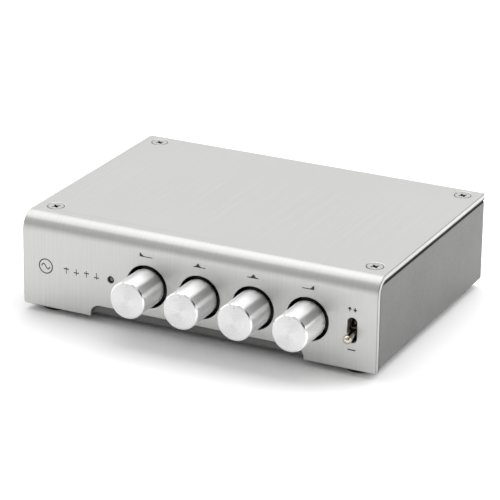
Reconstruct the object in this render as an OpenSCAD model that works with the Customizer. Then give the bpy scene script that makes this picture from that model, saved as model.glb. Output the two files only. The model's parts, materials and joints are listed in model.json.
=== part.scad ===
// Small desktop tone-control amplifier: a folded aluminium front-and-top cover over a
// folded steel tray, four rotary controls and a lever switch in front, sockets behind.
// Frame: X to the right seen from the front, Y towards the rear, Z up.
// Origin: centre of the whole object's footprint, on the plane that the feet stand on.

/* [Case] */
// Width of the cover
body_w = 127; // [120:0.5:140]
// Depth from the front panel's face to the rear wall's face
body_d = 88.9; // [85:0.1:110]
// Height from the front panel's lower edge to the top of the cover
panel_h = 31.5; // [31:0.1:36]
// Thickness of the aluminium cover
cover_t = 2.1; // [1.5:0.1:2.5]
// Outside radius of the bend between front and top
bend_r = 5.7; // [4:0.1:7]
// Radius of the front panel's two lower corners
panel_corner_r = 0.8; // [0.5:0.1:3]
// Thickness of the steel tray
tray_t = 1.2; // [0.8:0.1:1.6]
// How far the cover stands out past each side of the tray
cover_overhang = 0.4; // [0.1:0.1:1]
// Outside radius of the tray's bends
tray_bend_r = 1.6; // [1.6:0.1:3]

/* [Front notch] */
// Width of the notch along the front panel's lower edge
notch_w = 76.8; // [40:0.1:90]
// Height of the notch
notch_h = 4; // [3.4:0.1:6]
// Radius of the notch's upper corners
notch_r = 3.3; // [1:0.1:3.3]

/* [Feet] */
// Height of the gap under the front panel
foot_h = 2; // [1:0.1:4]
// Radius of a foot
foot_r = 6; // [3:0.1:6]
// Distance of a foot's centre from the middle, across the case
foot_x = 54.9; // [45:0.1:55]
// Distance of a foot's centre from the front face or the rear face
foot_inset = 8.5; // [8.5:0.1:15]

/* [Knobs] */
// Outside radius of a knob
knob_r = 6.2; // [5.5:0.1:6.8]
// How far a knob stands out of the front panel
knob_out = 13.4; // [8:0.1:18]
// Radius of the holes that the knobs pass through
knob_hole_r = 7.3; // [7:0.1:8.5]
// Distance between neighbouring knobs
knob_pitch = 19.05; // [18:0.05:20]
// Sideways position of the first knob
first_knob_x = -17.6; // [-25:0.1:-15]
// Height of the knobs' axes above the front panel's lower edge
knob_z = 14.1; // [13:0.1:16]
// Width of the edge chamfer on a knob's face
knob_chamfer = 0.45; // [0.2:0.05:1]

/* [Lever switches] */
// Sideways position of the front switch
bypass_x = 54.9; // [50:0.1:56]
// Height of the levers' pivots above the front panel's lower edge
lever_z = 13.6; // [12:0.1:15]
// Angle of a lever below level when it is down
lever_tilt = 10.5; // [6:0.5:12]
// Width of the slots that the levers pass through
slot_w = 3.3; // [3:0.1:4]
// Height of the slots
slot_h = 8.4; // [8:0.1:10]
// Radius of a lever's rounded tip
lever_tip_r = 1.5; // [1:0.1:1.6]
// Sideways position of the rear switch
power_x = 48; // [46:0.5:50]

/* [Rear sockets] */
// How far the signal sockets stand out of the rear wall
jack_out = 9.5; // [8:0.5:12]
// Distance between the two sockets of a pair
jack_pitch = 14; // [13:0.5:16]
// Sideways position of the input pair's centre
input_x = -35; // [-40:0.5:-30]
// Sideways position of the output pair's centre
output_x = 0; // [-5:0.5:5]
// Sideways position of the power inlet
inlet_x = 29; // [27:0.5:33]
// Outside radius of a signal socket's shell
shell_r = 4.15; // [4:0.05:4.3]
// Radius of a signal socket's centre contact
contact_r = 1.65; // [1.6:0.05:1.8]

/* [Hidden] */
$fn = 64;
eps = 0.01;

total_d = knob_out + body_d + jack_out;
face_y = knob_out - total_d / 2;
rear_y = face_y + body_d;
top_z = foot_h + panel_h;
ceiling_z = top_z - cover_t;

tray_w = body_w - 2 * cover_overhang;
tray_z = foot_h;
floor_z = tray_z + tray_t;
lip_h = 5.8;
flange_w = 10;
seam = 0.1;
tab_len = 5;
screw_x = 57.3;
screw_front = 11.1;
screw_rear = body_d - 5.1;
screw_len = 7;
screw_head_r = 2.9;
screw_head_h = 1.5;
screw_below_top = 0.15;
countersink_r = 3.15;
screw_shank_r = 1.5;
cover_hole_r = 1.7;
nut_shank_r = 2.3;
nut_flange_r = 3.2;
nut_flange_h = 2;
foot_chamfer = 0.3;

board_t = 1.6;
board_top = floor_z + 6.8;
board_w = 114;
board_front = 6;
board_rear = 86.4;
post_x = 51;
post_front = 26;
post_rear = 66;
post_r = 2.5;
post_nose_r = 1.8;
post_hole_r = 1.25;
board_hole_r = 1.6;
board_screw_head_r = 2.4;
board_screw_head_h = 1.4;
leg_w = 0.6;
leg_below = 1.4;

knob_axis_z = foot_h + knob_z;
knob_xs = [for (i = [0:3]) first_knob_x + i * knob_pitch];
knob_back = 0.4;
insert_r = 4.9;
insert_front = -8;
shaft_r = 3;
shaft_front = -6.5;
shaft_flat = 1.5;
pot_front = 7;
pot_depth = 8.5;
pot_w = 11;
pot_above = 5.9;
collar_r = 3.5;
rotor_r = 4.3;
rotor_t = 2;
rotor_gap = 0.3;
running_gap = 0.05;
index_w = 0.35;
index_depth = 0.12;
index_len = 1.4;

lever_axis_z = foot_h + lever_z;
pivot_in = 8;
pivot_pin_r = 0.5;
pivot_pin_len = 5.6;
lever_len = 11.5;
slot_mid_z = foot_h + 13.3;
switch_w = 6.8;
switch_depth = 8.6;
bushing_front = 4.4;
bushing_r = 3;
bushing_bore_r = 1.65;
bushing_flange_r = 3.3;
bushing_flange_t = 1;
bushing_rear = pivot_in + 0.6 + bushing_flange_t;
led_x = -30.8;
led_z = foot_h + 14.05;
led_hole_r = 1.15;
led_lens_r = 0.95;
led_flange_r = 1.5;
led_flange_front = 3.2;
led_rear = 7.4;

jack_axis_z = board_top + 6.6;
jack_xs = [input_x - jack_pitch / 2, input_x + jack_pitch / 2,
           output_x - jack_pitch / 2, output_x + jack_pitch / 2];
inner_face = body_d - tray_t;
nose_r = 4.95;
nose_out = 0.5;
nose_clearance = 0.15;
jack_w = 10.4;
jack_above = 5.8;
jack_body = 12;
jack_depth = 3;
shell_tail_r = 3.8;
insulator_r = 3.45;
insulator_back = 0.8;
sleeve_r = 2.3;
sleeve_back = 1.6;
inlet_w = 9.2;
inlet_above = 5;
inlet_body = 13.5;
inlet_nose_r = 4.5;
inlet_mouth = body_d + 0.4;
inlet_bore_r = 3.15;
inlet_bore_depth = 9.5;
inlet_pin_r = 1.05;
inlet_pin_back = 0.8;

// ---------------------------------------------------------------- helpers

// Stands a flat drawing, made in (depth, height), upright and runs it w wide across X.
module across(w) {
  translate([0, face_y, 0]) rotate([90, 0, 90]) linear_extrude(w, center = true) children();
}

// Stands a flat drawing, made in (X, height), upright from depth a to depth b.
module from_front(a, b) {
  translate([0, face_y + b, 0]) rotate([90, 0, 0]) linear_extrude(b - a) children();
}

// Rod along Y from depth a to depth b.
module rod(x, z, r, a, b) {
  translate([x, face_y + a, z]) rotate([-90, 0, 0]) cylinder(r = r, h = b - a);
}

// Box from depth a to depth b, centred on x, from height z to z + h.
module block(x, w, a, b, z, h) {
  translate([x - w / 2, face_y + a, z]) cube([w, b - a, h]);
}

// Upright rod at (x, depth), from height z to z + h.
module post(x, depth, r, z, h) {
  translate([x, face_y + depth, z]) cylinder(r = r, h = h);
}

// What rounding leaves outside a corner of radius r, whose tip is at the origin.
module corner_waste(r) {
  difference() {
    translate([-1, -1]) square(r + 1);
    translate([r, r]) circle(r);
  }
}

// Places its children at the four cover screws.
module at_cover_screws() {
  for (x = [-screw_x, screw_x], depth = [screw_front, screw_rear])
    translate([x, face_y + depth, 0]) children();
}

// Places its children at the four board posts.
module at_posts() {
  for (x = [-post_x, post_x], depth = [post_front, post_rear])
    translate([x, face_y + depth, 0]) children();
}

// Slot with round ends through depths a to b.
module lever_slot(x, a, b) {
  reach = (slot_h - slot_w) / 2;
  for (dz = [-reach, reach]) rod(x, slot_mid_z + dz, slot_w / 2, a, b);
  block(x, slot_w, a, b, slot_mid_z - reach, 2 * reach);
}

// ---------------------------------------------------------------- case

module cover_section() {
  translate([0, foot_h]) square([cover_t, panel_h - bend_r]);
  translate([bend_r, ceiling_z]) square([body_d - bend_r, cover_t]);
  intersection() {
    translate([bend_r, top_z - bend_r]) difference() {
      circle(bend_r);
      circle(bend_r - cover_t);
    }
    translate([0, top_z - bend_r]) square(bend_r);
  }
}

module notch_outline() {
  half = notch_w / 2;
  shoulder = notch_h - notch_r;
  translate([-half, -1]) square([notch_w, shoulder + 1]);
  translate([notch_r - half, -1]) square([notch_w - 2 * notch_r, notch_h + 1]);
  for (x = [notch_r - half, half - notch_r]) translate([x, shoulder]) circle(notch_r);
}

module top_front_cover() {
  color("gainsboro") difference() {
    across(body_w) cover_section();
    for (x = knob_xs) rod(x, knob_axis_z, knob_hole_r, -1, cover_t + 1);
    lever_slot(bypass_x, -1, cover_t + 1);
    rod(led_x, led_z, led_hole_r, -1, cover_t + 1);
    from_front(-1, cover_t + 1) translate([0, foot_h]) notch_outline();
    for (side = [0, 1]) mirror([side, 0, 0]) {
      from_front(-1, cover_t + 1) translate([-body_w / 2, foot_h]) corner_waste(panel_corner_r);
      translate([-body_w / 2, rear_y, ceiling_z - 1]) mirror([0, 1, 0])
        linear_extrude(cover_t + 2) corner_waste(1);
    }
    at_cover_screws() {
      translate([0, 0, ceiling_z - 1]) cylinder(r = cover_hole_r, h = cover_t + 2);
      translate([0, 0, top_z - screw_head_h])
        cylinder(r1 = cover_hole_r, r2 = countersink_r, h = screw_head_h + eps);
    }
  }
}

// Rectangle w wide and h high, standing on the X axis, with corners of radius r.
module rounded_frame(w, h, r) {
  translate([-w / 2, r]) square([w, h - 2 * r]);
  translate([r - w / 2, 0]) square([w - 2 * r, h]);
  for (x = [r - w / 2, w / 2 - r], y = [r, h - r]) translate([x, y]) circle(r);
}

tray_h = ceiling_z - tray_z;

// The space inside the tray's section, a gap away from its walls, and open at the top.
module tray_space(gap) {
  wall = tray_t + gap;
  opening_w = tray_w - 2 * (flange_w + gap);
  translate([0, wall]) rounded_frame(tray_w - 2 * wall, tray_h - 2 * wall, tray_bend_r - tray_t);
  translate([-opening_w / 2, tray_h / 2]) square([opening_w, tray_h / 2]);
}

// Folded steel: floor, two sides, two inward flanges for the screws, and a front lip.
module chassis_tray() {
  color("gray") difference() {
    union() {
      from_front(cover_t, body_d) translate([0, tray_z]) difference() {
        rounded_frame(tray_w, tray_h, tray_bend_r);
        tray_space(0);
        translate([-tray_w / 2 + flange_w, tray_h - tray_t - 1])
          square([tray_w - 2 * flange_w, tray_t + 2]);
      }
      block(0, tray_w - 2 * tray_t + eps, cover_t, cover_t + tray_t, floor_z - eps, lip_h - tray_t);
    }
    across(body_w) {
      translate([cover_t, ceiling_z]) mirror([0, 1]) corner_waste(bend_r - cover_t + 0.3);
      translate([cover_t, tray_z]) corner_waste(tray_bend_r);
    }
    at_cover_screws() translate([0, 0, ceiling_z - 3]) cylinder(r = nut_shank_r, h = 5);
    at_posts() translate([0, 0, tray_z - 1]) cylinder(r = post_nose_r, h = 4);
  }
}

// Rear wall, welded to the tray's sides by its two forward tabs.
module rear_panel() {
  tab_h = 16;
  color("gray") difference() {
    union() {
      from_front(inner_face, body_d) translate([0, tray_z]) tray_space(seam);
      for (side = [-1, 1])
        block(side * (tray_w / 2 - 1.5 * tray_t), tray_t, inner_face - tab_len, inner_face + seam,
          tray_z + (tray_h - tab_h) / 2, tab_h);
    }
    for (x = jack_xs)
      rod(x, jack_axis_z, nose_r + nose_clearance, inner_face - 1, body_d + 1);
    rod(inlet_x, jack_axis_z, inlet_nose_r + nose_clearance, inner_face - 1, body_d + 1);
    lever_slot(power_x, inner_face - 1, body_d + 1);
  }
}

module cover_screws() {
  cross_w = 0.7;
  color("silver") at_cover_screws() difference() {
    union() {
      translate([0, 0, top_z - screw_below_top - screw_head_h])
        cylinder(r1 = screw_shank_r, r2 = screw_head_r, h = screw_head_h);
      translate([0, 0, top_z - screw_len])
        cylinder(r = screw_shank_r, h = screw_len - screw_head_h);
    }
    for (turn = [45, 135]) rotate(turn) translate([0, 0, top_z])
      cube([screw_head_r + 0.1, cross_w, 2], center = true);
    translate([0, 0, top_z - screw_head_h])
      cylinder(r1 = cross_w / 2, r2 = 1.4 * cross_w, h = screw_head_h);
  }
}

module cover_clinch_nuts() {
  color("silver") at_cover_screws() difference() {
    union() {
      translate([0, 0, ceiling_z - tray_t]) cylinder(r = nut_shank_r, h = tray_t);
      translate([0, 0, ceiling_z - tray_t - nut_flange_h])
        cylinder(r = nut_flange_r, h = nut_flange_h);
    }
    translate([0, 0, ceiling_z - 5]) cylinder(r = screw_shank_r, h = 6);
  }
}

// A foot's depth is measured from the front face.
module foot(x, depth) {
  color("#1c1c1c") {
    post(x, depth, foot_r, foot_chamfer, tray_z - foot_chamfer);
    translate([x, face_y + depth, 0])
      cylinder(r1 = foot_r - foot_chamfer, r2 = foot_r, h = foot_chamfer);
  }
}

// ---------------------------------------------------------------- board

// Square legs, side wide, from below the board up to height top.
module upright_legs(side, top) {
  foot_z = board_top - board_t - leg_below;
  pot_legs = pot_front + 6.3;
  switch_legs = [12, 14.5, 17];
  places = concat(
    [for (x = knob_xs, dx = [-2.5, 0, 2.5]) [x + dx, pot_legs]],
    [for (depth = switch_legs) [bypass_x, depth]],
    [for (depth = switch_legs) [power_x, body_d - depth]]
  );
  for (at = places) block(at[0], side, at[1] - side / 2, at[1] + side / 2, foot_z, top - foot_z);
}

// The status light's two legs, bent down through the board.
module light_legs(side) {
  foot_z = board_top - board_t - leg_below;
  bend = led_rear + 2;
  for (dx = [-0.9, 0.9]) {
    block(led_x + dx, side, led_rear, bend + side / 2, led_z - side / 2, side);
    block(led_x + dx, side, bend - side / 2, bend + side / 2, foot_z, led_z - foot_z);
  }
}

module component_pins() {
  color("silver") {
    upright_legs(leg_w, board_top);
    light_legs(leg_w);
  }
}

module main_board() {
  hole_w = leg_w + 0.3;
  color("#161818") difference() {
    block(0, board_w, board_front, board_rear, board_top - board_t, board_t);
    at_posts() translate([0, 0, board_top - 3]) cylinder(r = board_hole_r, h = 5);
    upright_legs(hole_w, board_top + 1);
    light_legs(hole_w);
  }
}

module board_standoffs() {
  color("silver") at_posts() difference() {
    union() {
      translate([0, 0, tray_z]) cylinder(r = post_nose_r, h = tray_t);
      translate([0, 0, floor_z]) cylinder(r = post_r, h = board_top - board_t - floor_z);
    }
    translate([0, 0, tray_z + tray_t / 2]) cylinder(r = post_hole_r, h = 10);
  }
}

module board_screws() {
  screw_below = 5;
  cross_w = 0.5;
  color("silver") at_posts() difference() {
    union() {
      translate([0, 0, board_top - screw_below]) cylinder(r = post_hole_r, h = screw_below);
      translate([0, 0, board_top]) cylinder(r = board_screw_head_r, h = board_screw_head_h);
    }
    for (turn = [0, 90]) rotate(turn) translate([0, 0, board_top + board_screw_head_h])
      cube([board_screw_head_r + 0.2, cross_w, 1.6], center = true);
  }
}

// ---------------------------------------------------------------- rotary controls

module pot_housing(x) {
  cavity = pot_front + 1;
  color("#2b2b2b") difference() {
    block(x, pot_w, pot_front, pot_front + pot_depth, board_top, knob_axis_z + pot_above - board_top);
    rod(x, knob_axis_z, rotor_r + rotor_gap, cavity, cavity + rotor_t + 0.4);
    rod(x, knob_axis_z, shaft_r + rotor_gap, pot_front - 1, cavity + 1);
  }
}

module pot_collar(x) {
  color("silver") difference() {
    rod(x, knob_axis_z, collar_r, knob_back + 0.5, pot_front);
    rod(x, knob_axis_z, shaft_r + running_gap, knob_back, pot_front + 1);
  }
}

module pot_shaft(x) {
  rotor_front = pot_front + 1.2;
  color("silver") difference() {
    union() {
      rod(x, knob_axis_z, shaft_r, shaft_front, rotor_front);
      rod(x, knob_axis_z, rotor_r, rotor_front, rotor_front + rotor_t);
    }
    block(x, 2 * shaft_r + 1, shaft_front - 1, knob_back - 0.5, knob_axis_z + shaft_flat, shaft_r);
  }
}

// Half section of a knob: radius across, distance from its face upwards.
module knob_section() {
  length = knob_out + knob_back;
  cavity = insert_front + knob_out;
  rear_chamfer = 0.3;
  polygon([
    [0, 0], [knob_r - knob_chamfer, 0], [knob_r, knob_chamfer],
    [knob_r, length - rear_chamfer], [knob_r - rear_chamfer, length],
    [insert_r, length], [insert_r, cavity], [0, cavity]
  ]);
}

module knob(x) {
  color("gainsboro") difference() {
    translate([x, face_y - knob_out, knob_axis_z]) rotate([-90, 0, 0])
      rotate_extrude() knob_section();
    block(x, index_w, -knob_out - 1, index_depth - knob_out, knob_axis_z + knob_r - index_len, 3);
  }
}

module knob_insert(x) {
  fit = 0.02;
  color("#333333") difference() {
    rod(x, knob_axis_z, insert_r, insert_front, knob_back - 0.4);
    difference() {
      rod(x, knob_axis_z, shaft_r + fit, shaft_front - 0.2, knob_back + 1);
      block(x, 2 * shaft_r + 1, shaft_front - 1, knob_back - 0.6,
        knob_axis_z + shaft_flat + fit, shaft_r);
    }
  }
}

// ---------------------------------------------------------------- lever switches

// A switch is drawn with its panel's outer face on the XZ plane, its inside towards +Y,
// and its pivot on the axis at height 0.
module place_switch(x, rear) {
  translate([x, rear ? rear_y : face_y, lever_axis_z]) rotate(rear ? 180 : 0) children();
}

module switch_housing() {
  below = lever_axis_z - board_top;
  above = 6;
  room_w = 3.6;
  room_h = 6.8;
  color("#24304a") difference() {
    translate([-switch_w / 2, bushing_rear, -below]) cube([switch_w, switch_depth, below + above]);
    translate([-room_w / 2, bushing_rear - 1, -room_h / 2]) cube([room_w, 5.4, room_h]);
  }
}

// Threaded sleeve of a switch: a flared mouth, a bore for the lever's ball and a cross hole.
module switch_bushing() {
  flare_r = 2.6;
  flare_rear = 6.9;
  flange_front = bushing_rear - bushing_flange_t;
  color("silver") difference() {
    rotate([-90, 0, 0]) difference() {
      union() {
        translate([0, 0, bushing_front]) cylinder(r = bushing_r, h = flange_front - bushing_front);
        translate([0, 0, flange_front]) cylinder(r = bushing_flange_r, h = bushing_flange_t);
      }
      translate([0, 0, 4]) cylinder(r1 = flare_r, r2 = bushing_bore_r, h = flare_rear - 4);
      translate([0, 0, flare_rear - 0.1]) cylinder(r = bushing_bore_r, h = 4);
    }
    pivot_rod(pivot_pin_r + running_gap, 2 * bushing_r + 1);
  }
}

// Rod of a length across X, centred on a lever's pivot.
module pivot_rod(r, length) {
  translate([-length / 2, pivot_in, 0]) rotate([0, 90, 0]) cylinder(r = r, h = length);
}

// Half section of a lever: radius across, distance from the pivot towards the tip upwards.
module lever_section() {
  ball_r = 1.6;
  tail = 3.4;
  neck = 3.4;
  intersection() {
    union() {
      circle(ball_r);
      translate([0, lever_len]) circle(lever_tip_r);
      polygon([[0, -tail], [0.8, -tail], [0.8, 0], [0.85, neck / 2], [0.95, neck],
               [lever_tip_r - 0.1, lever_len - 0.5], [0, lever_len]]);
    }
    translate([0, -tail]) square([2 * ball_r, tail + lever_len + 2 * lever_tip_r]);
  }
}

// Lever with its cross pin, down at rest.
module switch_lever() {
  color("#cfc6b0") {
    translate([0, pivot_in, 0]) rotate([90 + lever_tilt, 0, 0]) rotate_extrude() lever_section();
    pivot_rod(pivot_pin_r, pivot_pin_len);
  }
}

// ---------------------------------------------------------------- status light

module status_led() {
  dome_front = 1.4;
  color("#8c8c8c") {
    rod(led_x, led_z, led_lens_r, dome_front, led_flange_front);
    translate([led_x, face_y + dome_front, led_z]) sphere(led_lens_r);
    rod(led_x, led_z, led_flange_r, led_flange_front, led_rear);
  }
}

// ---------------------------------------------------------------- rear sockets

module jack_housing(x) {
  color("#1e1e1e") difference() {
    union() {
      block(x, jack_w, inner_face - jack_body, inner_face, board_top,
        jack_axis_z + jack_above - board_top);
      rod(x, jack_axis_z, nose_r, inner_face - 1, body_d + nose_out);
    }
    rod(x, jack_axis_z, shell_tail_r, inner_face - jack_depth, body_d + nose_out + 1);
  }
}

module jack_shell(x) {
  color("gold") difference() {
    union() {
      rod(x, jack_axis_z, shell_tail_r, inner_face - jack_depth, body_d + nose_out);
      rod(x, jack_axis_z, shell_r, body_d + nose_out, body_d + jack_out);
    }
    rod(x, jack_axis_z, insulator_r, 0, body_d + jack_out + 1);
  }
}

module jack_insulator(x) {
  difference() {
    rod(x, jack_axis_z, insulator_r, inner_face - jack_depth, body_d + jack_out - insulator_back);
    rod(x, jack_axis_z, sleeve_r, 0, body_d + jack_out + 1);
  }
}

module jack_contacts() {
  color("gold") for (x = jack_xs) difference() {
    rod(x, jack_axis_z, sleeve_r, inner_face - jack_depth, body_d + jack_out - sleeve_back);
    rod(x, jack_axis_z, contact_r, 0, body_d + jack_out + 1);
  }
}

module power_inlet_housing() {
  color("#1e1e1e") difference() {
    union() {
      block(inlet_x, inlet_w, inner_face - inlet_body, inner_face, board_top,
        jack_axis_z + inlet_above - board_top);
      rod(inlet_x, jack_axis_z, inlet_nose_r, inner_face - 1, inlet_mouth);
    }
    rod(inlet_x, jack_axis_z, inlet_bore_r, inlet_mouth - inlet_bore_depth, inlet_mouth + 1);
  }
}

module power_inlet_pin() {
  point = 0.6;
  shoulder = inlet_mouth - inlet_pin_back - point;
  color("silver") {
    rod(inlet_x, jack_axis_z, inlet_pin_r, inlet_mouth - inlet_bore_depth, shoulder);
    translate([inlet_x, face_y + shoulder, jack_axis_z]) rotate([-90, 0, 0])
      cylinder(r1 = inlet_pin_r, r2 = inlet_pin_r - 0.45, h = point);
  }
}

// ---------------------------------------------------------------- circuit parts

module film_capacitors() {
  size = [5, 7.5, 9.5];
  front = 21;
  color("firebrick") for (x = knob_xs, side = [-4.2, 4.2])
    block(x + side, size[0], front, front + size[1], board_top, size[2]);
}

module filter_inductors() {
  depth = 38;
  end_r = 5;
  end_h = 1.2;
  core_r = 4;
  core_h = 7.6;
  color("#3a3a3a") for (i = [0:2]) {
    for (z = [0, end_h + core_h]) post(knob_xs[i], depth, end_r, board_top + z, end_h);
    post(knob_xs[i], depth, core_r, board_top + end_h, core_h);
  }
}

module electrolytic_capacitors() {
  large = [5, 16];
  small = [3.15, 11];
  row = [50, 61.5];
  color("#20243a") {
    for (x = [14, 25, 36], depth = row) post(x, depth, large[0], board_top, large[1]);
    post(47, row[0], large[0], board_top, large[1]);
    for (depth = [46:7:60]) post(-50, depth, small[0], board_top, small[1]);
  }
}

// Two voltage regulators with their metal tabs' side to the right, and four rectifier diodes.
module power_semiconductors() {
  front = 70;
  regulator_w = 10;
  body = [3.1, 11];
  tab = [1.3, 17.5];
  diode_r = 1.35;
  diode_len = 5.2;
  color("#222222") {
    for (x = [17.5, 56]) {
      block(x - 0.7, body[0], front, front + regulator_w, board_top, body[1]);
      block(x + 1.5, tab[0], front, front + regulator_w, board_top, tab[1]);
    }
    for (i = [0:3]) translate([36, face_y + front + 3.6 * i, board_top + diode_r + 0.05])
      rotate([0, 90, 0]) cylinder(r = diode_r, h = diode_len);
  }
}

module signal_relays() {
  size = [10, 15, 9.6];
  front = 56;
  color("#d8d2c0") for (x = [-35, -17])
    block(x, size[0], front, front + size[1], board_top, size[2]);
}

module amplifier_chips() {
  size = [6.4, 9.4, 4];
  color("#1a1a1a") for (x = [-44, -32], front = [20, 33])
    block(x, size[0], front, front + size[1], board_top, size[2]);
}

module resistors() {
  r = 1.1;
  length = 6.3;
  lift = board_top + r + 0.1;
  color("tan") {
    for (x = [-22:5:3]) rod(x, lift, r, 46, 46 + length);
    for (depth = [31:3.4:42]) translate([-55, face_y + depth, lift]) rotate([0, 90, 0])
      cylinder(r = r, h = length);
  }
}

// ---------------------------------------------------------------- nodes

top_front_cover();
chassis_tray();
rear_panel();
cover_screws();
cover_clinch_nuts();
foot(-foot_x, foot_inset);  // foot_front_left
foot(foot_x, foot_inset);  // foot_front_right
foot(-foot_x, body_d - foot_inset);  // foot_rear_left
foot(foot_x, body_d - foot_inset);  // foot_rear_right
main_board();
board_standoffs();
board_screws();

BANDS = ["bass", "low_mid", "high_mid", "treble"];
for (i = [0:3]) {
  pot_housing(knob_xs[i]);
  pot_collar(knob_xs[i]);
  pot_shaft(knob_xs[i]);
  knob(knob_xs[i]);
  knob_insert(knob_xs[i]);
}

place_switch(bypass_x, false) switch_housing();  // bypass_switch_housing
place_switch(bypass_x, false) switch_bushing();  // bypass_switch_bushing
place_switch(bypass_x, false) switch_lever();  // bypass_switch_lever
place_switch(power_x, true) switch_housing();  // power_switch_housing
place_switch(power_x, true) switch_bushing();  // power_switch_bushing
place_switch(power_x, true) switch_lever();  // power_switch_lever
status_led();
component_pins();

JACKS = ["input_left", "input_right", "output_left", "output_right"];
for (i = [0:3]) {
  jack_housing(jack_xs[i]);
  jack_shell(jack_xs[i]);
}
color("white") for (i = [0, 2]) jack_insulator(jack_xs[i]);  // white_jack_insulators
color("crimson") for (i = [1, 3]) jack_insulator(jack_xs[i]);  // red_jack_insulators
jack_contacts();
power_inlet_housing();
power_inlet_pin();

film_capacitors();
filter_inductors();
electrolytic_capacitors();
power_semiconductors();
signal_relays();
amplifier_chips();
resistors();
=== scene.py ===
import json
import math

import bpy
import bmesh
from mathutils import Matrix, Vector


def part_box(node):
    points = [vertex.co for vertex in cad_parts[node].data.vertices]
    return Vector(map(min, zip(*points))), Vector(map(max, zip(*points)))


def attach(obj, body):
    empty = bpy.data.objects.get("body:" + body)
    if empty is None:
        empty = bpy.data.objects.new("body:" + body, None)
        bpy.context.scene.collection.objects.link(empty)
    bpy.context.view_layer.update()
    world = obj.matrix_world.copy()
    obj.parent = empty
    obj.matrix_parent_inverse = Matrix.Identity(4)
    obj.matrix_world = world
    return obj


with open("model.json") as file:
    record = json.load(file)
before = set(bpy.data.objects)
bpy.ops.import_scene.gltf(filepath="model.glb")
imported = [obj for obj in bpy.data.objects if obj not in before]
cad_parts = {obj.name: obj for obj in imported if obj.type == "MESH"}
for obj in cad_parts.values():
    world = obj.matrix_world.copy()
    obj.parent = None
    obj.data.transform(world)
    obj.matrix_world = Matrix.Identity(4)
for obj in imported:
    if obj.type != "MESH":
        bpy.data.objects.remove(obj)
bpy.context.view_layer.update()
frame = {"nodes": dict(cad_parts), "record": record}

MM = 0.001
BANDS = ("bass", "low_mid", "high_mid", "treble")
JACKS = ("input_left", "input_right", "output_left", "output_right")
NODES = frame["nodes"]
COVER_LOW, COVER_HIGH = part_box("top_front_cover")
TRAY_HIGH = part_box("chassis_tray")[1]
COVER_BEND = 5.7 * MM          # outer radius of the cover's bend
SCREW_HEAD_RADIUS = 2.9 * MM   # of the cover's screws
KNOB_CHAMFER = 0.45 * MM
INDEX_INNER_RADIUS = 5.7 * MM  # where the index notch in a knob's rim starts


# ---------------------------------------------------------------- shader helpers

class Nodes:
    """Short names for building a shader node tree. Lengths are in metres."""

    def __init__(self, tree):
        self.tree = tree
        tree.nodes.clear()

    def add(self, kind, inputs=None, **settings):
        """A new shader node with its inputs linked or set."""
        node = self.tree.nodes.new("ShaderNode" + kind)
        for key, value in settings.items():
            setattr(node, key, value)
        for key, value in (inputs or {}).items():
            if isinstance(value, bpy.types.NodeSocket):
                self.tree.links.new(value, node.inputs[key])
            else:
                node.inputs[key].default_value = value
        return node

    def coordinates(self, kind="Object"):
        return self.add("TexCoord").outputs[kind]

    def math(self, operation, a, b=0.0):
        return self.add("Math", {0: a, 1: b}, operation=operation).outputs["Value"]

    def plus(self, a, b):
        return self.math("ADD", a, b)

    def minus(self, a, b):
        return self.math("SUBTRACT", a, b)

    def times(self, a, b):
        return self.math("MULTIPLY", a, b)

    def split(self, vector):
        """A vector's three parts, by name."""
        return self.add("SeparateXYZ", {0: vector}).outputs

    def join(self, x=0.0, y=0.0):
        """A vector from its first two parts."""
        return self.add("CombineXYZ", {"X": x, "Y": y}).outputs[0]

    def length(self, vector):
        return self.add("VectorMath", {0: vector}, operation="LENGTH").outputs["Value"]

    def between(self, value, low, high, start=0.3, stop=0.7, kind="LINEAR"):
        """A number that runs from low to high as the value runs from start to stop."""
        inputs = {"Value": value, "From Min": start, "From Max": stop, "To Min": low, "To Max": high}
        return self.add("MapRange", inputs, interpolation_type=kind).outputs["Result"]

    def ease(self, value, low, high, start, stop):
        """Like between, but without corners at the two ends."""
        return self.between(value, low, high, start, stop, kind="SMOOTHSTEP")

    def step(self, value, start, stop):
        """A mask that rises from 0 to 1 as the value runs from start to stop."""
        return self.between(value, 0.0, 1.0, start, stop)

    def blend(self, factor, a, b):
        """The number a, replaced by the number b as the factor goes from 0 to 1."""
        return self.add("Mix", {"Factor": factor, 2: a, 3: b}, data_type="FLOAT").outputs[0]


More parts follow.
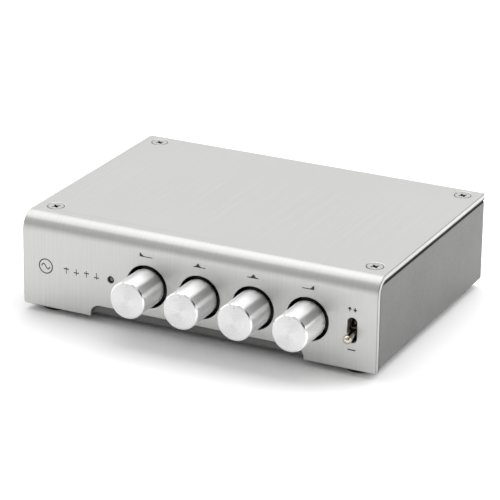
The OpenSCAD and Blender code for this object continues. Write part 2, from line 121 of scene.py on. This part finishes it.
class Shader(Nodes):
    """A procedural material built round one Principled shader."""

    def __init__(self, name, metallic=0.0, **sockets):
        self.material = bpy.data.materials.new(name)
        self.material.use_nodes = True
        super().__init__(self.material.node_tree)
        self.principled = self.add("BsdfPrincipled", {"Metallic": metallic})
        for key, value in sockets.items():
            self.principled.inputs[key.replace("_", " ")].default_value = value
        self.add("OutputMaterial", {"Surface": self.principled.outputs["BSDF"]})

    def drive(self, socket, source):
        """Links a source to one of the Principled shader's sockets."""
        self.tree.links.new(source, self.principled.inputs[socket])

    def stretch(self, vector, per_metre):
        """The vector times a number of repeats per metre along each axis."""
        return self.add("Mapping", {"Vector": vector, "Scale": per_metre}).outputs["Vector"]

    def noise(self, vector, detail=2.0):
        inputs = {"Vector": vector, "Scale": 1.0, "Detail": detail, "Roughness": 0.5}
        return self.add("TexNoise", inputs).outputs["Fac"]

    def colours(self, factor, low, high, start=0.3, stop=0.7):
        """A colour that runs from low to high as the factor runs from start to stop."""
        ramp = self.add("ValToRGB", {"Fac": factor})
        first, last = ramp.color_ramp.elements
        first.position, first.color = start, (*low, 1.0)
        last.position, last.color = stop, (*high, 1.0)
        return ramp.outputs["Color"]

    def tint(self, factor, under, over):
        """Colour under, covered by colour over as the factor goes from 0 to 1."""
        mix = self.add("Mix", {"Factor": factor}, data_type="RGBA")
        for index, colour in ((6, under), (7, over)):
            if isinstance(colour, bpy.types.NodeSocket):
                self.tree.links.new(colour, mix.inputs[index])
            else:
                mix.inputs[index].default_value = (*colour, 1.0)
        return mix.outputs[2]

    def bump(self, height, distance, strength=1.0, under=None):
        """A normal from a height, on top of the normal under it if there is one."""
        inputs = {"Height": height, "Distance": distance, "Strength": strength}
        if under is not None:
            inputs["Normal"] = under
        return self.add("Bump", inputs).outputs["Normal"]


# ---------------------------------------------------------------- materials

def depth_in_sheet(s, parts):
    """Depth of a point below the outer face of the cover's panel, bend and top."""
    ahead = s.minus(COVER_LOW.y + COVER_BEND, parts["Y"])
    above = s.minus(parts["Z"], COVER_HIGH.z - COVER_BEND)
    reach = s.join(s.math("MAXIMUM", ahead, 0.0), s.math("MAXIMUM", above, 0.0))
    return s.minus(COVER_BEND, s.length(reach))


def brushed_sheet():
    """Aluminium brushed along the sheet and over its bend.

    The cut edges are a little lighter, as bare cut metal with a painted highlight. The arrises carry painted
    shade, and a painted black shadow line runs along the inner side of the cut edges."""
    s = Shader("brushed_sheet", metallic=1.0, Anisotropic=0.7)
    parts = s.split(s.coordinates())
    unrolled = s.join(parts["X"], s.minus(parts["Y"], parts["Z"]))
    hairs = s.noise(s.stretch(unrolled, (5200, 60, 1)), detail=3)
    strokes = s.noise(s.stretch(unrolled, (2100, 16, 1)), detail=2)
    clouds = s.noise(s.stretch(s.coordinates(), (22, 22, 22)), detail=1)
    grain = s.plus(s.times(hairs, 0.45), s.times(strokes, 0.55))
    sideways = s.math("ABSOLUTE", parts["X"])
    half = COVER_HIGH.x
    # Painted shade: the band over the rounded arrises gets a darker colour.
    arris = s.step(sideways, half - 0.30 * MM, half - 0.24 * MM)
    # The cut edge is a little lighter: bare cut metal, partly a painted highlight.
    cut_edge = s.step(sideways, half - 0.03 * MM, half - 0.01 * MM)
    # Painted shadow: deeper than this in the sheet, the arris band is painted near black as a shadow line.
    shadow_line_depth = s.step(depth_in_sheet(s, parts), 1.35 * MM, 1.55 * MM)
    colour = s.colours(grain, (0.53, 0.53, 0.518), (0.585, 0.585, 0.573), 0.36, 0.64)
    colour = s.tint(arris, colour, (0.33, 0.33, 0.325))
    colour = s.tint(cut_edge, colour, (0.60, 0.60, 0.585))
    s.drive("Base Color", s.tint(s.times(arris, shadow_line_depth), colour, (0.012, 0.012, 0.012)))
    s.drive("Roughness", s.plus(s.between(grain, 0.38, 0.46), s.between(clouds, -0.01, 0.02)))
    s.drive("Normal", s.bump(hairs, 0.000006, 0.6, s.bump(strokes, 0.000012, 0.5)))
    s.drive("Tangent", s.join(1.0))
    return s.material


def turned_knob():
    """Aluminium turned on a lathe about Y: satin face, polished chamfer, finely grooved side. The face's
    darker colour is painted shade and the side's lighter colour a painted highlight.
    """
    s = Shader("turned_aluminium", metallic=1.0, Anisotropic=1.0, Anisotropic_Rotation=0.25)
    low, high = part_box("bass_knob")
    width, length = high.x - low.x, high.y - low.y
    width_mm = width / MM
    from_corner = s.coordinates("Generated")
    from_axis = s.add("VectorMath", {0: from_corner, 1: (0.5, 0.0, 0.5)}, operation="SUBTRACT")
    parts = s.split(from_axis.outputs[0])
    radius = s.length(s.join(parts["X"], parts["Z"]))
    along = s.plus(radius, s.times(parts["Y"], length / width))
    around = s.times(s.math("ARCTAN2", parts["Z"], parts["X"]), 0.02)
    path = s.join(along, around)
    grooves = s.noise(s.stretch(path, (7.0 * width_mm, 40, 1)), detail=3)
    bands = s.noise(s.stretch(path, (1.1 * width_mm, 6, 1)), detail=1)
    grain = s.plus(s.times(grooves, 0.6), s.times(bands, 0.4))
    behind_face = s.step(parts["Y"], 0.01 * MM / length, 0.05 * MM / length)
    behind_chamfer = s.step(parts["Y"], (KNOB_CHAMFER - 0.05 * MM) / length, KNOB_CHAMFER / length)
    notch_shade = s.between(radius, 1.0, 0.0, (INDEX_INNER_RADIUS - 0.05 * MM) / width,
                           (INDEX_INNER_RADIUS + 0.03 * MM) / width)
    # Painted shade and highlight: the face gets a darker colour than the side, though both are the same
    # aluminium.
    colour = s.tint(behind_face, (0.65, 0.65, 0.65), (0.97, 0.97, 0.97))
    # Painted shade: behind the face and inside the rim, such as in the index notch, the colour is a little
    # darker.
    colour = s.tint(s.times(behind_face, notch_shade), colour, (0.6, 0.6, 0.6))
    shaded = s.add("VectorMath", {0: colour, "Scale": s.between(grain, 0.97, 1.03)}, operation="SCALE")
    s.drive("Base Color", shaded.outputs[0])
    rough = s.blend(behind_chamfer, s.blend(behind_face, 0.26, 0.14), 0.30)
    s.drive("Roughness", s.plus(rough, s.between(grain, -0.02, 0.03)))
    s.drive("Normal", s.bump(grooves, 0.000005, 0.5))
    s.drive("Tangent", s.add("Tangent", direction_type="RADIAL", axis="Y").outputs[0])
    return s.material


def painted_steel():
    """Satin grey powder coat with a fine orange peel, and a painted black shadow line under the cover's edge.
    """
    s = Shader("painted_steel", Specular_IOR_Level=0.45)
    place = s.coordinates()
    peel = s.noise(s.stretch(place, (1500,) * 3), detail=3)
    mottle = s.noise(s.stretch(place, (60,) * 3), detail=2)
    specks = s.step(s.noise(s.stretch(place, (4200,) * 3), detail=1), 0.68, 0.8)
    base = s.colours(mottle, (0.125, 0.125, 0.122), (0.14, 0.14, 0.137))
    painted = s.tint(s.times(specks, 0.25), base, (0.15, 0.15, 0.15))
    # Painted shadow: a near-black, rougher band just under the cover's edge.
    joint_shadow = s.step(s.split(place)["Z"], TRAY_HIGH.z - 1.25 * MM, TRAY_HIGH.z - 1.0 * MM)
    s.drive("Base Color", s.tint(joint_shadow, painted, (0.004, 0.004, 0.004)))
    s.drive("Roughness", s.plus(s.between(peel, 0.40, 0.50), s.times(joint_shadow, 0.5)))
    s.drive("Normal", s.bump(peel, 0.00003, 0.35))
    return s.material


def moulded_plastic(name, low, high, roughness, grain_per_m=2600, depth=0.00002):
    """Moulded plastic with a fine spark-eroded grain and slightly uneven gloss."""
    s = Shader(name, Specular_IOR_Level=0.5)
    place = s.coordinates()
    grain = s.noise(s.stretch(place, (grain_per_m,) * 3), detail=3)
    flow = s.noise(s.stretch(place, (140,) * 3), detail=2)
    s.drive("Base Color", s.colours(flow, low, high))
    s.drive("Roughness", s.between(grain, roughness - 0.06, roughness + 0.06))
    s.drive("Normal", s.bump(grain, depth, 0.4))
    return s.material


def plated_metal(name, low, high, roughness):
    """Polished or plated metal with faint handling marks and softly varying gloss."""
    s = Shader(name, metallic=1.0)
    place = s.coordinates()
    smears = s.noise(s.stretch(place, (420,) * 3), detail=3)
    scuffs = s.noise(s.stretch(place, (2400, 700, 2400)), detail=2)
    s.drive("Base Color", s.colours(smears, low, high))
    s.drive("Roughness", s.between(smears, roughness - 0.03, roughness + 0.06))
    s.drive("Normal", s.bump(scuffs, 0.000008, 0.3))
    return s.material


def countersunk_steel():
    """Zinc plating on the cover's screws, with painted shade in their recesses and in the gap round each
    head.
    """
    s = Shader("zinc_plated", metallic=1.0)
    place = s.coordinates()
    low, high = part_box("cover_screws")
    middle = (low + high) / 2
    parts = s.split(place)
    from_middle = s.math("ABSOLUTE", s.minus(parts["Y"], middle.y))
    across = s.minus(s.math("ABSOLUTE", parts["X"]), high.x - SCREW_HEAD_RADIUS)
    along = s.minus(from_middle, high.y - SCREW_HEAD_RADIUS - middle.y)
    radius = s.length(s.join(across, along))
    # Painted shade: near black round the head's edge and on everything below the head's top.
    rim = s.step(radius, SCREW_HEAD_RADIUS - 0.34 * MM, SCREW_HEAD_RADIUS - 0.22 * MM)
    recess = s.between(parts["Z"], 1.0, 0.0, high.z - 0.35 * MM, high.z - 0.15 * MM)
    smears = s.noise(s.stretch(place, (420,) * 3), detail=3)
    plating = s.colours(smears, (0.40, 0.395, 0.38), (0.54, 0.535, 0.52))
    s.drive("Base Color", s.tint(s.math("MAXIMUM", rim, recess), plating, (0.03, 0.03, 0.03)))
    s.drive("Roughness", s.between(smears, 0.23, 0.32))
    s.drive("Normal", s.bump(smears, 0.000008, 0.3))
    return s.material


def printed_ink():
    """Black screen-printed ink, a little uneven and slightly raised."""
    s = Shader("printed_ink", Specular_IOR_Level=0.4)
    cover = s.noise(s.stretch(s.coordinates(), (5000,) * 3), detail=2)
    s.drive("Base Color", s.colours(cover, (0.018, 0.018, 0.018), (0.035, 0.035, 0.034)))
    s.drive("Roughness", s.between(cover, 0.45, 0.6))
    s.drive("Normal", s.bump(cover, 0.000008, 0.4))
    return s.material


def board_surface():
    """Black solder mask over faint copper tracks."""
    s = Shader("board_surface", Specular_IOR_Level=0.5, Roughness=0.32)
    place = s.coordinates()
    cells = {"Vector": s.stretch(place, (330, 330, 1)), "Scale": 1.0}
    distance = s.add("TexVoronoi", cells, distance="MANHATTAN").outputs["Distance"]
    tracks = s.step(distance, 0.45, 0.5)
    weave = s.noise(s.stretch(place, (1800, 1800, 1800)), detail=1)
    mask = s.colours(weave, (0.008, 0.009, 0.009), (0.012, 0.014, 0.014))
    s.drive("Base Color", s.tint(s.times(tracks, 0.6), mask, (0.026, 0.029, 0.028)))
    s.drive("Normal", s.bump(tracks, 0.00003, 0.5))
    return s.material


MATERIALS = {
    "cover_aluminium": brushed_sheet(),
    "tray_paint": painted_steel(),
    "screw_steel": countersunk_steel(),
    "foot_rubber": moulded_plastic("foot_rubber", (0.010, 0.010, 0.010), (0.017, 0.017, 0.017), 0.7,
                                   grain_per_m=1500, depth=0.00004),
    "knob_aluminium": turned_knob(),
    "black_plastic": moulded_plastic("black_plastic", (0.012, 0.012, 0.013), (0.022, 0.022, 0.023), 0.45),
    "switch_plastic": moulded_plastic("switch_plastic", (0.012, 0.02, 0.06), (0.02, 0.032, 0.085), 0.42),
    "bright_steel": plated_metal("bright_steel", (0.56, 0.56, 0.57), (0.68, 0.68, 0.68), 0.24),
    "lever_nickel": plated_metal("lever_nickel", (0.52, 0.47, 0.38), (0.68, 0.62, 0.52), 0.10),
    "led_lens": moulded_plastic("led_lens", (0.16, 0.16, 0.165), (0.20, 0.20, 0.205), 0.25,
                                grain_per_m=1800, depth=0.000008),
    "tinned_pins": plated_metal("tinned_pins", (0.66, 0.66, 0.65), (0.76, 0.76, 0.75), 0.32),
    "gold_plating": plated_metal("gold_plating", (0.82, 0.58, 0.22), (0.92, 0.69, 0.31), 0.17),
    "white_plastic": moulded_plastic("white_plastic", (0.74, 0.73, 0.70), (0.80, 0.79, 0.76), 0.34),
    "red_plastic": moulded_plastic("red_plastic", (0.48, 0.012, 0.016), (0.56, 0.02, 0.024), 0.34),
    "board_resin": board_surface(),
    "capacitor_film": moulded_plastic("capacitor_film", (0.05, 0.012, 0.010), (0.07, 0.016, 0.013), 0.4),
    "capacitor_sleeve": moulded_plastic("capacitor_sleeve", (0.012, 0.018, 0.05), (0.02, 0.028, 0.07), 0.3),
    "ferrite": moulded_plastic("ferrite", (0.03, 0.03, 0.03), (0.055, 0.055, 0.055), 0.55),
    "relay_plastic": moulded_plastic("relay_plastic", (0.58, 0.55, 0.48), (0.65, 0.62, 0.55), 0.45),
    "resistor_lacquer": moulded_plastic("resistor_lacquer", (0.42, 0.28, 0.14), (0.52, 0.36, 0.2), 0.35),
}
INK = printed_ink()


# ---------------------------------------------------------------- CAD nodes

def join_and_smooth_group():
    """Node group that joins a mesh's split edges and shades it smooth, ready for a bevel."""
    group = bpy.data.node_groups.new("join_and_smooth", "GeometryNodeTree")
    group.interface.new_socket("Geometry", in_out="INPUT", socket_type="NodeSocketGeometry")
    group.interface.new_socket("Geometry", in_out="OUTPUT", socket_type="NodeSocketGeometry")
    start = group.nodes.new("NodeGroupInput")
    merge = group.nodes.new("GeometryNodeMergeByDistance")
    merge.inputs["Distance"].default_value = 0.002 * MM
    plain = group.nodes.new("GeometryNodeRemoveAttribute")
    plain.inputs["Name"].default_value = "custom_normal"
    smooth = group.nodes.new("GeometryNodeSetShadeSmooth")
    end = group.nodes.new("NodeGroupOutput")
    chain = (start, merge, plain, smooth, end)
    for before, after in zip(chain, chain[1:]):
        group.links.new(before.outputs[0], after.inputs[0])
    return group


JOIN_AND_SMOOTH = join_and_smooth_group()


def ease_edges(piece, radius):
    """Rounds a piece's sharp edges with modifiers, without touching its own mesh."""
    join = piece.modifiers.new("join", "NODES")
    join.node_group = JOIN_AND_SMOOTH
    flat = piece.modifiers.new("flat", "DECIMATE")
    flat.decimate_type = "DISSOLVE"
    flat.angle_limit = math.radians(0.4)
    bevel = piece.modifiers.new("arris", "BEVEL")
    bevel.limit_method = "ANGLE"
    bevel.angle_limit = math.radians(28)
    bevel.width = radius
    bevel.segments = 3
    bevel.use_clamp_overlap = False
    shade = piece.modifiers.new("shade", "WEIGHTED_NORMAL")
    shade.mode = "FACE_AREA_WITH_ANGLE"
    shade.weight = 80


EDGE_RADIUS_MM = {
    "top_front_cover": 0.26, "chassis_tray": 0.15, "cover_screws": 0.06,
    "main_board": 0.05, "jack_contacts": 0.06, "power_inlet_pin": 0.06, "board_screws": 0.05,
}
DEFAULT_EDGE_RADIUS_MM = 0.1
PLAIN_NODES = ("component_pins", "bypass_switch_lever", "power_switch_lever", "status_led")

for row in frame["record"]["subparts"]:
    piece = NODES[row["node"]]
    piece.data.materials.clear()
    piece.data.materials.append(MATERIALS[row["material_slot"]])
    if row["node"] not in PLAIN_NODES:
        ease_edges(piece, EDGE_RADIUS_MM.get(row["node"], DEFAULT_EDGE_RADIUS_MM) * MM)


# ---------------------------------------------------------------- printed marks

INK_PROUD = 0.02 * MM
INK_SUNK = 0.01 * MM


class Print:
    """Flat marks drawn in millimetres on an upright panel, made into one thin raised mesh."""

    def __init__(self, name, origin, right):
        self.name = name
        self.origin = origin
        self.right = right
        self.mesh = bmesh.new()

    def layer(self, outline, lift):
        out = self.right.cross(Vector((0, 0, 1)))
        across = [self.origin + self.right * (x * MM) + Vector((0, 0, z * MM)) for x, z in outline]
        return [self.mesh.verts.new(place + out * lift) for place in across]

    def wall(self, front, back):
        count = len(front)
        for i in range(count):
            j = (i + 1) % count
            self.mesh.faces.new((front[i], back[i], back[j], front[j]))

    def solid(self, outline):
        """A filled outline, a list of (across, up) points."""
        front, back = self.layer(outline, INK_PROUD), self.layer(outline, -INK_SUNK)
        self.mesh.faces.new(front)
        self.mesh.faces.new(back[::-1])
        self.wall(front, back)

    def stroke(self, points, width):
        """An open line of one width along points, mitred at the bends."""
        sides = []
        for i, (x, z) in enumerate(points):
            before, after = points[max(i - 1, 0)], points[min(i + 1, len(points) - 1)]
            along = Vector((after[0] - before[0], after[1] - before[1])).normalized() * (width / 2)
            sides.append(((x - along.y, z + along.x), (x + along.y, z - along.x)))
        upper, lower = [side[0] for side in sides], [side[1] for side in sides]
        fronts = [self.layer(line, INK_PROUD) for line in (upper, lower)]
        backs = [self.layer(line, -INK_SUNK) for line in (upper, lower)]
        for i in range(len(points) - 1):
            for rows in (fronts, backs):
                self.mesh.faces.new((rows[0][i], rows[0][i + 1], rows[1][i + 1], rows[1][i]))
        self.wall(fronts[0] + fronts[1][::-1], backs[0] + backs[1][::-1])

    def ring(self, x, z, radius, width, steps=48):
        """A closed round line of one width."""
        circles = [arc(x, z, radius + grow, 0, 360, steps)[:-1] for grow in (width / 2, -width / 2)]
        fronts = [self.layer(circle, INK_PROUD) for circle in circles]
        backs = [self.layer(circle, -INK_SUNK) for circle in circles]
        self.wall(*fronts)
        self.wall(*backs)
        for front, back in zip(fronts, backs):
            self.wall(front, back)

    def finish(self):
        """Makes the marks one piece that rides on the case."""
        bmesh.ops.recalc_face_normals(self.mesh, faces=self.mesh.faces)
        data = bpy.data.meshes.new(self.name)
        self.mesh.to_mesh(data)
        self.mesh.free()
        data.materials.append(INK)
        piece = bpy.data.objects.new(self.name, data)
        bpy.context.scene.collection.objects.link(piece)
        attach(piece, "case")


def arc(cx, cz, radius, start, stop, steps):
    """Points along a circle's arc, from start to stop in degrees."""
    turns = [math.radians(start + (stop - start) * i / steps) for i in range(steps + 1)]
    return [(cx + radius * math.cos(t), cz + radius * math.sin(t)) for t in turns]


def middle_x(node):
    """The middle of a CAD node across the object, in millimetres."""
    low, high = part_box(node)
    return (low.x + high.x) / 2 / MM


CURVE_BASE, CURVE_LIFT = 24.45, 1.05


def hill(middle, width=0.6):
    """Height of a bell-shaped curve, for a middle band."""
    return lambda x: CURVE_LIFT * math.exp(-((x - middle) / width) ** 2)


def slope(foot, top):
    """Height of a curve that climbs from its foot to its top, for a shelf at one end."""
    return lambda x: CURVE_LIFT * max(0.0, min(1.0, (x - foot) / (top - foot))) ** 1.6


# Left end, right end and height of each knob's response curve, counted from the knob's middle.
RESPONSES = {
    "bass": (-2.5, 2.1, slope(-0.7, -2.2)),
    "low_mid": (-2.1, 2.2, hill(-0.5)),
    "high_mid": (-2.1, 1.9, hill(0.1)),
    "treble": (-1.95, 2.15, slope(0.6, 1.7)),
}


def response_curve(marks, middle, left, right, lift, steps=24):
    """A filled response curve over a flat line."""
    half_line = 0.15
    across = [left + (right - left) * i / steps for i in range(steps + 1)]
    top = [(middle + x, CURVE_BASE + half_line + lift(x)) for x in across]
    bottom = [(middle + x, CURVE_BASE - half_line) for x in (left, right)]
    marks.solid(top[::-1] + bottom)


def arrow(marks, x, z, up):
    """A small arrow: a solid head on a short stem."""
    head, stem = 0.78, 0.17
    marks.solid([(x - stem, z - 0.65 * up), (x + stem, z - 0.65 * up), (x + stem, z), (x + head, z),
                 (x, z + 0.95 * up), (x - head, z), (x - stem, z)])


def slider(marks, x, z, level):
    """A slider control as one cross-shaped mark: a slot with a handle at level."""
    slot, half, grip, reach = 0.13, 1.15, 0.19, 0.95
    low, high = z + level - grip, z + level + grip
    marks.solid([(x - slot, z - half), (x + slot, z - half), (x + slot, low), (x + reach, low),
                 (x + reach, high), (x + slot, high), (x + slot, z + half), (x - slot, z + half),
                 (x - slot, high), (x - reach, high), (x - reach, low), (x - slot, low)])


def sine_in_ring(marks, x, z):
    """One period of a sine wave in a ring."""
    marks.ring(x, z, 2.45, 0.4)
    wave = [(x + 1.6 * (i / 12 - 1), z + 0.85 * math.sin(math.pi * i / 12)) for i in range(25)]
    marks.stroke(wave, 0.36)


def print_front():
    """Curves over the knobs, signs at the bypass switch, and two generic signs of a tone control."""
    marks = Print("front_marks", Vector((0, COVER_LOW.y, COVER_LOW.z)), Vector((1, 0, 0)))
    for band in BANDS:
        response_curve(marks, middle_x(band + "_knob"), *RESPONSES[band])
    slot_x = middle_x("bypass_switch_lever")
    arrow(marks, slot_x - 0.9, 20.3, 1)
    arrow(marks, slot_x + 0.9, 20.45, -1)
    marks.stroke([(slot_x - 1.35, 6.7), (slot_x + 1.35, 6.7)], 0.42)
    sine_in_ring(marks, -55.0, 14.4)
    for i, level in enumerate((0.55, -0.2, 0.35, -0.5)):
        slider(marks, -47.3 + 3.75 * i, 14.3, level)
    marks.finish()


def socket_pair_sign(marks, left, right, z, pointing):
    """A line over a pair of sockets, with a triangle pointing up (1) or down (-1) in its gap."""
    middle = (left + right) / 2
    for side in (-1, 1):
        marks.stroke([(middle + side * 2.0, z), (middle + side * 5.2, z)], 0.26)
    base = z - 0.6 * pointing
    marks.solid([(middle - 1.0, base), (middle + 1.0, base), (middle, z + 0.9 * pointing)])


def power_sign(marks, x, z):
    """An open ring with a bar in its gap."""
    marks.stroke(arc(x, z - 0.1, 1.3, 122, 418, 30), 0.28)
    marks.stroke([(x, z + 0.2), (x, z + 1.6)], 0.28)


def direct_current_sign(marks, x, z):
    """A line over three dashes."""
    marks.stroke([(x - 2.2, z + 0.45), (x + 2.2, z + 0.45)], 0.28)
    for start in (-2.2, -0.55, 1.1):
        marks.stroke([(x + start, z - 0.35), (x + start + 1.1, z - 0.35)], 0.28)


def print_rear():
    """Signs over the sockets, the power switch and the power inlet, seen from behind."""
    marks = Print("rear_marks", Vector((0, TRAY_HIGH.y, COVER_LOW.z)), Vector((-1, 0, 0)))
    height = 23.6
    jacks = [-middle_x(jack + "_jack_shell") for jack in JACKS]
    socket_pair_sign(marks, jacks[0], jacks[1], height, -1)
    socket_pair_sign(marks, jacks[2], jacks[3], height, 1)
    power_sign(marks, -middle_x("power_switch_lever"), height)
    direct_current_sign(marks, -middle_x("power_inlet_pin"), height)
    marks.finish()


print_front()
print_rear()


# ---------------------------------------------------------------- floor, light, camera

def pale_floor():
    """Almost white matt paper."""
    s = Shader("pale_floor", Specular_IOR_Level=0.2)
    grain = s.noise(s.stretch(s.coordinates(), (40, 40, 40)), detail=2)
    s.drive("Base Color", s.colours(grain, (0.955, 0.955, 0.955), (0.97, 0.97, 0.97)))
    s.drive("Roughness", s.between(grain, 0.75, 0.85))
    return s.material


def lay_floor():
    """A flat disc under the object, wide enough to fill every view."""
    shape = bmesh.new()
    bmesh.ops.create_circle(shape, cap_ends=True, segments=96, radius=4.0)
    data = bpy.data.meshes.new("floor")
    shape.to_mesh(data)
    shape.free()
    data.materials.append(pale_floor())
    floor = bpy.data.objects.new("floor", data)
    bpy.context.scene.collection.objects.link(floor)


def softbox(name, place, target, size, power, matt=True, metal=True):
    """A rectangular area light: it lights matt surfaces, shows in metal, or does both."""
    light = bpy.data.lights.new(name, "AREA")
    light.shape = "RECTANGLE"
    light.size, light.size_y = size
    light.energy = power
    lamp = bpy.data.objects.new(name, light)
    lamp.location = place
    lamp.rotation_mode = "QUATERNION"
    lamp.rotation_quaternion = (Vector(target) - Vector(place)).to_track_quat("-Z", "Y")
    lamp.visible_camera = False
    lamp.visible_diffuse = matt
    lamp.visible_glossy = metal
    bpy.context.scene.collection.objects.link(lamp)


def studio_sky():
    """A white room, a little brighter at the left, and dimmer overhead, in front and at the right."""
    world = bpy.data.worlds.new("studio")
    bpy.context.scene.world = world
    world.use_nodes = True
    sky = Nodes(world.node_tree)
    direction = sky.coordinates("Generated")
    parts = sky.split(direction)

    def towards(x, y, z):
        return sky.add("VectorMath", {0: direction, 1: (x, y, z)}, operation="DOT_PRODUCT").outputs["Value"]

    above = sky.ease(parts["Z"], 0.25, 1.0, 0.08, 0.32)
    front = sky.times(sky.ease(towards(0.3, -0.95, 0), 0.0, -0.75, -0.1, 0.8), above)
    walls = sky.plus(1.24, front)
    upper = sky.blend(sky.ease(parts["Z"], 0.0, 1.0, 0.45, 0.7), walls, 0.7)
    left = sky.times(sky.ease(parts["X"], 0.0, 0.3, -0.38, -0.72), sky.ease(parts["Y"], 0.0, 1.0, -0.2, 0.2))
    sides = sky.plus(upper, sky.times(left, sky.ease(parts["Z"], 0.1, 1.0, 0.2, 0.55)))
    room = sky.blend(sky.ease(towards(0, 0.17, 0.985), 0.0, 1.0, 0.65, 0.85), sides, 0.42)
    right = sky.times(sky.ease(parts["X"], 0.0, -0.85, 0.42, 0.56), sky.ease(parts["Y"], 0.0, 1.0, 0.45, 0.1))
    level = sky.times(room, sky.plus(1.0, sky.times(right, above)))
    backdrop = sky.add("Background", {"Color": (1, 1, 1, 1), "Strength": level})
    sky.add("OutputWorld", {"Surface": backdrop.outputs[0]})


def place_camera(target, azimuth, elevation, roll, distance, lens):
    """A camera that looks at target from distance away. Angles are in degrees, lens in mm."""
    azimuth, elevation, roll = (math.radians(angle) for angle in (azimuth, elevation, roll))
    back = Vector((math.sin(azimuth) * math.cos(elevation), -math.cos(azimuth) * math.cos(elevation),
                   math.sin(elevation)))
    right = Vector((math.cos(azimuth), math.sin(azimuth), 0))
    up = back.cross(right)
    rolled_right = right * math.cos(roll) + up * math.sin(roll)
    rolled_up = up * math.cos(roll) - right * math.sin(roll)
    data = bpy.data.cameras.new("camera")
    data.lens = lens
    data.sensor_width = 36.0
    data.clip_start, data.clip_end = 0.05, 20.0
    camera = bpy.data.objects.new("camera", data)
    turn = Matrix((rolled_right, rolled_up, back)).transposed().to_4x4()
    camera.matrix_world = Matrix.Translation(target + back * distance) @ turn
    bpy.context.scene.collection.objects.link(camera)
    bpy.context.scene.camera = camera


lay_floor()
softbox("overhead_key", (-0.20, 0.36, 1.2), (-0.20, 0.36, 0), (1.56, 0.97), 8.2, matt=False)
softbox("overhead_front", (-0.56, -0.36, 1.2), (-0.56, -0.36, 0), (0.84, 0.47), 2.4, matt=False)
softbox("rear_top", (-0.15, 1.05, 1.35), (0, 0, 0), (1.0, 0.4), 1.2)
softbox("rear_right", (1.05, 0.95, 0.5), (0, 0, 0), (0.6, 0.5), 4.0, metal=False)
softbox("floor_light", (0.1, 0.42, 1.05), (0.1, 0.12, 0), (2.4, 1.3), 19.5, metal=False)
softbox("right_strip", (1.6, 0.16, 0.56), (0, 0, 0.02), (1.4, 0.2), 3.2)
studio_sky()
place_camera(Vector((-2.63, 2.5, 16.11)) * MM, azimuth=25.94, elevation=21.34, roll=0.74,
             distance=0.9071, lens=195.8)
bpy.context.scene.view_settings.view_transform = "Standard"
